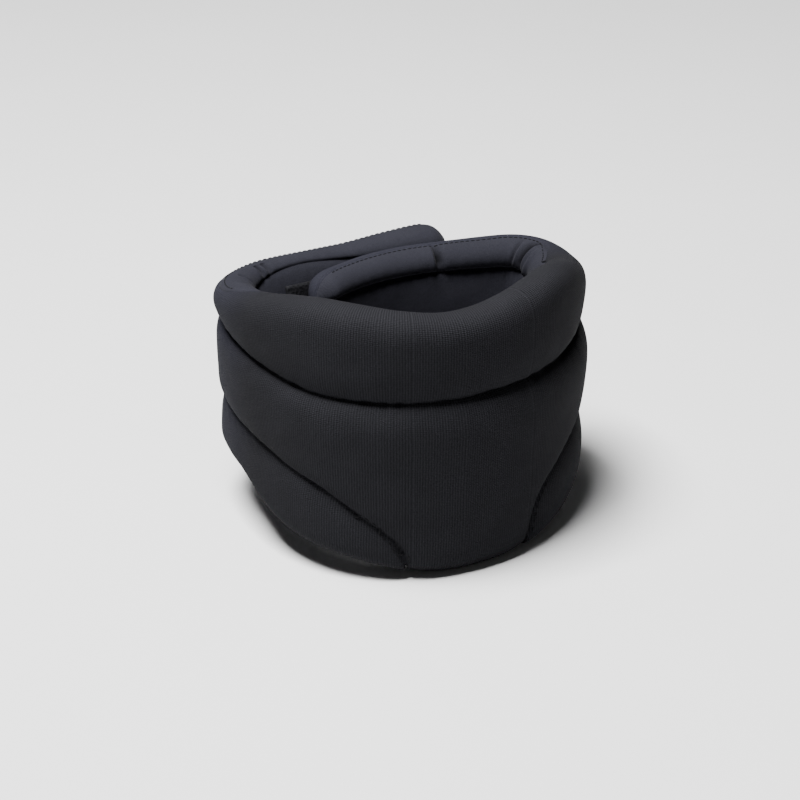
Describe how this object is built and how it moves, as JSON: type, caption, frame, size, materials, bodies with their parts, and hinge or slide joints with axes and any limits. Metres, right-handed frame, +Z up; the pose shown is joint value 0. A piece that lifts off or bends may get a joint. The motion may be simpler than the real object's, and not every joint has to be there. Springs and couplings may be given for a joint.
{
  "type": "cervical collar",
  "caption": "Soft foam cervical collar: a padded band in three sewn channels with a chest bib, bent into a ring and closed at the back by overlapping hook-and-loop arms.",
  "frame": {"origin": "centre of the collar's box, on the surface it stands on", "axes": "+Z up along the neck, -Y to the front of the wearer, +X to the wearer's left"},
  "size_m": [0.1666, 0.1529, 0.129],
  "materials": {
    "rib_knit": "fine vertical rib knit, matt",
    "side_jersey": "smooth brushed jersey, slightly blue",
    "lining_jersey": "smooth brushed jersey, slightly blue",
    "foam": "open-cell polyurethane foam",
    "hook_tape": "moulded hook tape",
    "loop_pile": "brushed loop pile"
  },
  "bodies": {
    "front": {"front_lower_left_cover": "side_jersey", "front_lower_left_foam": "foam", "front_lower_left_lining": "lining_jersey", "front_lower_right_cover": "side_jersey", "front_lower_right_foam": "foam", "front_lower_right_lining": "lining_jersey", "front_middle_cover": "rib_knit", "front_middle_foam": "foam", "front_middle_lining": "lining_jersey", "front_top_cover": "rib_knit", "front_top_foam": "foam", "front_top_lining": "lining_jersey"},
    "right_arm": {"right_arm_lower_cover": "side_jersey", "right_arm_lower_foam": "foam", "right_arm_lower_lining": "lining_jersey", "right_arm_middle_cover": "side_jersey", "right_arm_middle_foam": "foam", "right_arm_middle_lining": "lining_jersey", "right_arm_top_cover": "side_jersey", "right_arm_top_foam": "foam", "right_arm_top_lining": "lining_jersey", "hook_tape": "hook_tape"},
    "left_arm": {"left_arm_lower_cover": "side_jersey", "left_arm_lower_foam": "foam", "left_arm_lower_lining": "lining_jersey", "left_arm_middle_cover": "side_jersey", "left_arm_middle_foam": "foam", "left_arm_middle_lining": "lining_jersey", "left_arm_top_cover": "side_jersey", "left_arm_top_foam": "foam", "left_arm_top_lining": "lining_jersey", "loop_patch": "loop_pile"}
  },
  "joints": [
    {"name": "right_arm_fold", "type": "hinge", "parent": "front", "child": "right_arm", "pos_m": [-0.06819, 0.05913, 0.064], "axis": [0, 0, 1], "range_deg": [0, 75]},
    {"name": "left_arm_fold", "type": "hinge", "parent": "front", "child": "left_arm", "pos_m": [0.07757, 0.03052, 0.064], "axis": [0, 0, -1], "range_deg": [0, 22.5]}
  ],
  "couplings": [
    {"joint": "left_arm_fold", "follows": "right_arm_fold", "ratio": 0.3}
  ]
}
